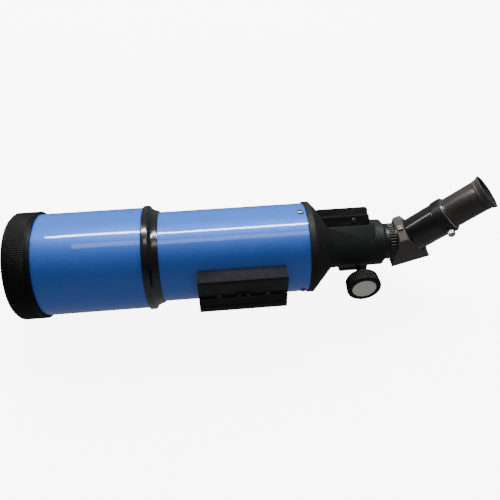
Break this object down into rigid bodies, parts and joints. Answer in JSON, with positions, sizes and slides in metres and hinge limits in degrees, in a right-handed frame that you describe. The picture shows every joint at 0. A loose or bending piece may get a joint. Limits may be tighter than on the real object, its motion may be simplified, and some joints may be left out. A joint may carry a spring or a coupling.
{
  "type": "refracting telescope",
  "caption": "Short refracting telescope tube with dust cap, rack-and-pinion focuser, angled erecting diagonal and eyepiece, carried on a dovetail bar with a tripod thread.",
  "frame": {"origin": "centre of the tripod thread's mouth, in the middle of the dovetail bar's outer face", "axes": "+X along the optical axis towards the eyepiece, +Y from the dovetail bar into the tube, +Z completes the frame and points to the side that the eyepiece rises on"},
  "size_m": [0.4707, 0.1107, 0.1313],
  "materials": {
    "blue_tube": "gloss blue metallic enamel",
    "black_gloss": "gloss black powder coat",
    "black_satin": "satin black anodised",
    "cap_plastic": "satin black moulding",
    "focuser_black": "matt black paint on a die casting",
    "shoe_grey": "matt charcoal moulding",
    "diagonal_grey": "matt charcoal moulding",
    "knob_black": "matt ribbed grip",
    "knob_disc": "satin turned",
    "tube_chrome": "polished chrome plate",
    "flat_black": "flat black inside paint",
    "gloss_plastic": "gloss black moulding",
    "eyepiece_black": "satin black anodised",
    "eyecup_rubber": "matt rubber",
    "steel_screw": "zinc plated",
    "blackened_steel": "black oxide",
    "nickel": "nickel plated",
    "steel_shaft": "ground steel",
    "brass": "bright brass",
    "glass": "polished coated glass",
    "ptfe": "natural acetal"
  },
  "bodies": {
    "tube": {"objective_cell": "black_gloss", "crown_lens": "glass", "flint_lens": "glass", "lens_spacer": "flat_black", "lens_retaining_ring": "black_satin", "main_tube": "blue_tube", "front_baffle": "flat_black", "rear_baffle": "flat_black", "dovetail_bar": "black_satin", "dovetail_screws": "blackened_steel", "dovetail_nuts": "steel_screw", "focuser_housing": "focuser_black", "tube_screws": "nickel", "finder_shoe": "shoe_grey", "shoe_screws": "steel_screw", "shoe_side_screw": "steel_screw", "pinion_cover": "focuser_black", "cover_screws": "steel_screw"},
    "dew_cap": {"dew_shield": "blue_tube"},
    "cap": {"dust_cap": "cap_plastic"},
    "plug": {"aperture_plug": "cap_plastic"},
    "drawtube": {"drawtube": "black_satin", "drawtube_rack": "ptfe", "eyepiece_holder": "black_satin"},
    "holder_screw": {"holder_thumbscrew": "nickel"},
    "pinion": {"pinion_gear": "ptfe", "pinion_shaft": "steel_shaft", "knob_near": "knob_black", "knob_far": "knob_black", "knob_inlay_near": "knob_disc", "knob_inlay_far": "knob_disc"},
    "diagonal": {"diagonal_nosepiece": "tube_chrome", "prism_housing": "diagonal_grey", "prism_base_plate": "diagonal_grey", "base_plate_screws": "steel_screw", "roof_prism": "glass", "prism_clamp_screw": "brass", "output_tube": "gloss_plastic", "clamp_collar": "gloss_plastic", "compression_ring": "brass"},
    "collar_screw": {"eyepiece_thumbscrew": "nickel"},
    "eyepiece": {"eyepiece_barrel": "tube_chrome", "field_stop": "flat_black", "eyepiece_body": "eyepiece_black", "field_lens": "glass", "eye_lens": "glass", "lens_spacer_tube": "flat_black", "eyecup": "eyecup_rubber"}
  },
  "joints": [
    {"name": "dew_shield_pull", "type": "slide", "parent": "tube", "child": "dew_cap", "axis": [-1, 0, 0], "range_m": [0, 0.03]},
    {"name": "cap_pull", "type": "slide", "parent": "dew_cap", "child": "cap", "axis": [-1, 0, 0], "range_m": [0, 0.035]},
    {"name": "plug_pull", "type": "slide", "parent": "cap", "child": "plug", "axis": [-1, 0, 0], "range_m": [0, 0.015]},
    {"name": "focus_slide", "type": "slide", "parent": "tube", "child": "drawtube", "axis": [1, 0, 0], "range_m": [0, 0.09]},
    {"name": "pinion_turn", "type": "hinge", "parent": "tube", "child": "pinion", "pos_m": [0.1237, 0.0575, -0.0236], "axis": [0, 1, 0], "range_deg": [-1, 1613]},
    {"name": "diagonal_turn", "type": "hinge", "parent": "drawtube", "child": "diagonal", "pos_m": [0.16, 0.0575, 0], "axis": [1, 0, 0], "continuous": true},
    {"name": "holder_screw_turn", "type": "hinge", "parent": "drawtube", "child": "holder_screw", "pos_m": [0.15575, 0.0575, 0], "axis": [0, 0.7071, -0.7071], "range_deg": [0, 720]},
    {"name": "collar_screw_turn", "type": "hinge", "parent": "diagonal", "child": "collar_screw", "pos_m": [0.20538, 0.05416, 0.03342], "axis": [0, -0.9951, -0.0993], "range_deg": [0, 720]},
    {"name": "eyepiece_pull", "type": "slide", "parent": "diagonal", "child": "eyepiece", "axis": [0.7071, -0.0702, 0.7036], "range_m": [0, 0.03]}
  ],
  "couplings": [
    {"joint": "pinion_turn", "follows": "focus_slide", "rad_per_m": 312.5}
  ]
}
